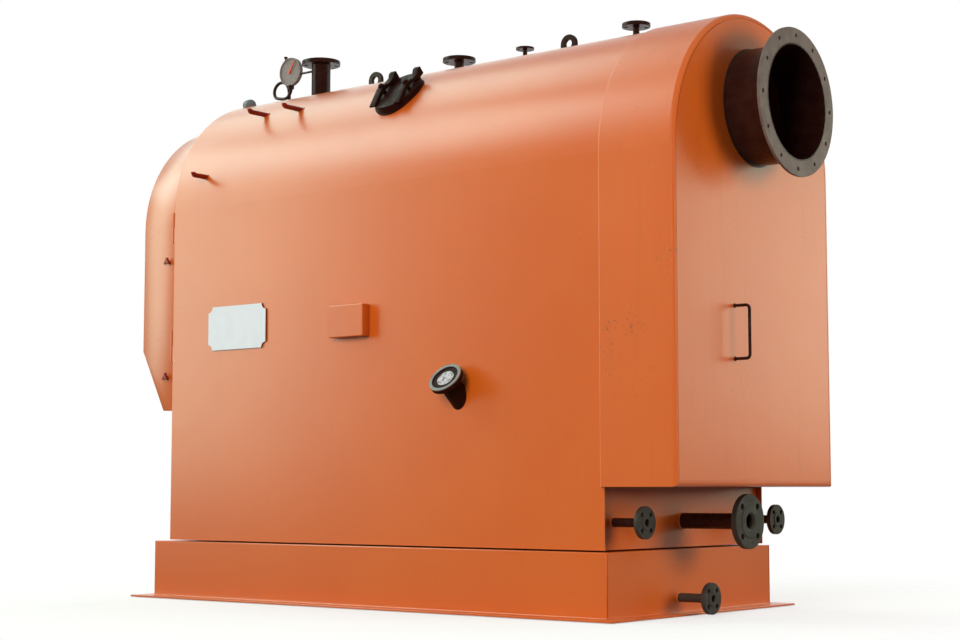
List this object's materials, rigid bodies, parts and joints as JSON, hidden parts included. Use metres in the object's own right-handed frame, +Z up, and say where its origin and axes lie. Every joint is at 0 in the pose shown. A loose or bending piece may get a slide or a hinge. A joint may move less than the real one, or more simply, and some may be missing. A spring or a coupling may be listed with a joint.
{
  "type": "industrial boiler",
  "caption": "Horizontal fire-tube boiler in an arched orange casing on a plinth, with a hinged front hood, a rear smokebox with a flanged flue, and roof and rear pipe flanges",
  "frame": {"origin": "middle of the base plate's underside, on the floor", "axes": "+X from the door end to the flue end, +Z up, -Y the side with the nameplate"},
  "size_m": [2.441, 1.0743, 2.002],
  "materials": {
    "orange_paint": "semi-gloss orange enamel, lightly soiled",
    "black_paint": "satin black enamel",
    "flange_steel": "dark blackened steel",
    "red_paint": "dark red enamel",
    "grey_steel": "dull machined steel",
    "boiler_steel": "mill-finish boiler plate",
    "plate_white": "matt off-white",
    "pointer_red": "orange-red enamel",
    "sight_glass": "clear heat-proof glass",
    "lining": "cast refractory"
  },
  "bodies": {
    "boiler": {"air_vent": "grey_steel", "base_plate": "orange_paint", "boiler_saddles": "black_paint", "boiler_shell": "boiler_steel", "burner_flange": "flange_steel", "drain_flanges": "black_paint", "drain_pipes": "black_paint", "feed_flange": "black_paint", "feed_pipe": "black_paint", "flue_flange": "flange_steel", "flue_pipe": "flange_steel", "front_tube_plate": "boiler_steel", "front_wall": "orange_paint", "furnace_tube": "boiler_steel", "gauge_body": "grey_steel", "gauge_cock": "black_paint", "gauge_pointer": "pointer_red", "gauge_siphon": "black_paint", "gauge_stay": "black_paint", "handhole_cover": "black_paint", "handhole_neck": "black_paint", "handhole_studs": "flange_steel", "handhole_yokes": "black_paint", "hinge_pins": "orange_paint", "junction_box": "orange_paint", "lifting_lugs": "orange_paint", "main_jacket": "orange_paint", "nameplate": "plate_white", "plinth_deck": "orange_paint", "plinth_drain": "black_paint", "plinth_end_panels": "orange_paint", "plinth_side_panels": "orange_paint", "probe_pipe": "black_paint", "rear_handle": "black_paint", "rear_tube_plate": "boiler_steel", "rear_wall": "orange_paint", "safety_valve_pipe": "black_paint", "side_pegs": "red_paint", "sight_glass": "sight_glass", "sight_ring": "grey_steel", "sight_tube": "black_paint", "smoke_tubes": "boiler_steel", "smokebox_floor": "orange_paint", "smokebox_jacket": "orange_paint", "smokebox_rear_panel": "orange_paint", "steam_outlet": "black_paint", "turning_chamber": "boiler_steel", "vent_pipe": "black_paint"},
    "front_door": {"door_hood": "orange_paint", "door_lining": "lining", "hinge_knuckles": "orange_paint", "clamp_screws": "red_paint"}
  },
  "joints": [
    {"name": "front_door_hinge", "type": "hinge", "parent": "boiler", "child": "front_door", "pos_m": [-0.921, -0.443, 1.096], "axis": [0, 0, 1], "range_deg": [0, 100]}
  ]
}
